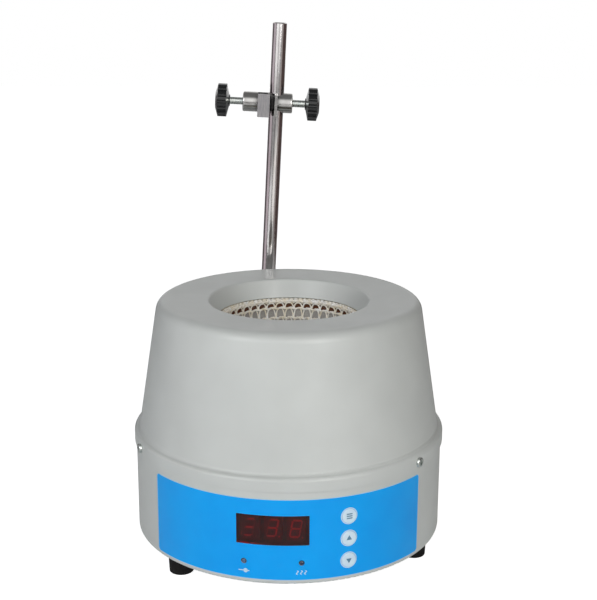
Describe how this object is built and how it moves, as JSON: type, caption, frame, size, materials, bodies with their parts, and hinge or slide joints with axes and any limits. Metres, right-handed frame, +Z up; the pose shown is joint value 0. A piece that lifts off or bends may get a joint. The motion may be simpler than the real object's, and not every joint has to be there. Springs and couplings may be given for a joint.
{
  "type": "heating mantle",
  "caption": "Electric heating mantle for a round-bottom flask: tapered casing, knitted heater basket, digital control panel, stand rod with a clamp.",
  "frame": {"origin": "on the casing's axis, in the plane of the base pan's underside", "axes": "+Z up along the casing's axis; -Y is the front with the control panel; +X to the right seen from the front"},
  "size_m": [0.24, 0.2615, 0.3963],
  "materials": {
    "casing_enamel": "semi-gloss light grey",
    "label_film": "satin blue film",
    "window_filter": "dark red filter",
    "digit_resin": "dark face",
    "key_resin": "pale blue-white",
    "lamp_resin": "clear",
    "foot_rubber": "black",
    "knob_resin": "black",
    "rod_steel": "ground bright",
    "clamp_steel": "turned",
    "zinc_steel": "zinc plated",
    "glass_yarn": "knitted glass yarn",
    "mineral_wool": "pressed wool",
    "bowl_aluminium": "spun",
    "board_laminate": "green solder mask",
    "black_plastic": "moulded",
    "white_ceramic": "unglazed",
    "transformer_iron": "varnished laminations",
    "terminal_green": "moulded"
  },
  "bodies": {
    "mantle": {"base_pan": "casing_enamel", "upper_shell": "casing_enamel", "rubber_feet": "foot_rubber", "foot_screws": "zinc_steel", "foot_nuts": "zinc_steel", "casing_screws": "zinc_steel", "rivet_nuts": "zinc_steel", "control_label": "label_film", "display_window": "window_filter", "digit_left": "digit_resin", "digit_middle": "digit_resin", "digit_right": "digit_resin", "set_lamp": "lamp_resin", "heat_lamp": "lamp_resin", "display_board": "board_laminate", "display_studs": "zinc_steel", "key_board": "board_laminate", "key_studs": "zinc_steel", "board_screws": "zinc_steel", "key_switches": "black_plastic", "lower_posts": "zinc_steel", "upper_posts": "zinc_steel", "post_screws": "zinc_steel", "bowl_screws": "zinc_steel", "heat_shield": "bowl_aluminium", "inner_bowl": "bowl_aluminium", "heater_basket": "glass_yarn", "insulation": "mineral_wool", "temperature_probe": "zinc_steel", "ceramic_bushes": "white_ceramic", "power_board": "board_laminate", "board_pillars": "zinc_steel", "pillar_caps": "zinc_steel", "mains_transformer": "transformer_iron", "heat_sink": "bowl_aluminium", "triac": "black_plastic", "terminal_block": "terminal_green", "mains_inlet": "black_plastic", "inlet_screws": "zinc_steel", "inlet_nuts": "zinc_steel", "switch_frame": "black_plastic", "fuse_holder": "black_plastic", "rod_holder": "clamp_steel", "holder_screws": "zinc_steel", "rod_lock_screw": "zinc_steel"},
    "rod": {"support_rod": "rod_steel"},
    "clamp": {"clamp_body": "clamp_steel"},
    "jaw": {"jaw_block": "clamp_steel", "jaw_screw": "zinc_steel"},
    "jaw_knob": {"jaw_knob": "knob_resin"},
    "rod_screw": {"rod_screw": "zinc_steel"},
    "rod_knob": {"rod_knob": "knob_resin"},
    "set_key": {"set_key": "key_resin"},
    "up_key": {"up_key": "key_resin"},
    "down_key": {"down_key": "key_resin"},
    "rocker": {"switch_rocker": "black_plastic"},
    "fuse_cap": {"fuse_cap": "black_plastic"}
  },
  "joints": [
    {"name": "rod_turn", "type": "hinge", "parent": "mantle", "child": "rod", "pos_m": [-0.0248, 0.127, 0.021], "axis": [0.0471, 0, 0.9989], "continuous": true},
    {"name": "clamp_slide", "type": "slide", "parent": "rod", "child": "clamp", "axis": [0.0471, 0, 0.9989], "range_m": [-0.112, 0.052]},
    {"name": "jaw_travel", "type": "slide", "parent": "clamp", "child": "jaw", "axis": [0.9989, 0, -0.0471], "range_m": [0, 0.0042]},
    {"name": "jaw_knob_turn", "type": "hinge", "parent": "jaw", "child": "jaw_knob", "pos_m": [-0.01094, 0.127, 0.31497], "axis": [0.9989, 0, -0.0471], "range_deg": [0, 1476]},
    {"name": "rod_screw_travel", "type": "slide", "parent": "clamp", "child": "rod_screw", "axis": [0.9989, 0, -0.0471], "range_m": [0, 0.0061]},
    {"name": "rod_knob_turn", "type": "hinge", "parent": "rod_screw", "child": "rod_knob", "pos_m": [-0.01094, 0.127, 0.31497], "axis": [0.9989, 0, -0.0471], "range_deg": [0, 2160]},
    {"name": "set_key_press", "type": "slide", "parent": "mantle", "child": "set_key", "axis": [-0.36, 0.933, 0], "range_m": [0, 0.0005], "stiffness_N_per_m": 1500},
    {"name": "up_key_press", "type": "slide", "parent": "mantle", "child": "up_key", "axis": [-0.36, 0.933, 0], "range_m": [0, 0.0005], "stiffness_N_per_m": 1500},
    {"name": "down_key_press", "type": "slide", "parent": "mantle", "child": "down_key", "axis": [-0.36, 0.933, 0], "range_m": [0, 0.0005], "stiffness_N_per_m": 1500},
    {"name": "rocker_tilt", "type": "hinge", "parent": "mantle", "child": "rocker", "pos_m": [0.06101, 0.09535, 0.0475], "axis": [0, 0, 1], "range_deg": [0, 24]},
    {"name": "fuse_cap_turn", "type": "hinge", "parent": "mantle", "child": "fuse_cap", "pos_m": [0.03467, 0.10984, 0.0475], "axis": [0.4226, 0.9063, 0], "range_deg": [0, 45]}
  ],
  "couplings": [
    {"joint": "jaw_travel", "follows": "jaw_knob_turn", "m_per_rad": 0.00015915},
    {"joint": "rod_screw_travel", "follows": "rod_knob_turn", "m_per_rad": 0.00015915}
  ]
}
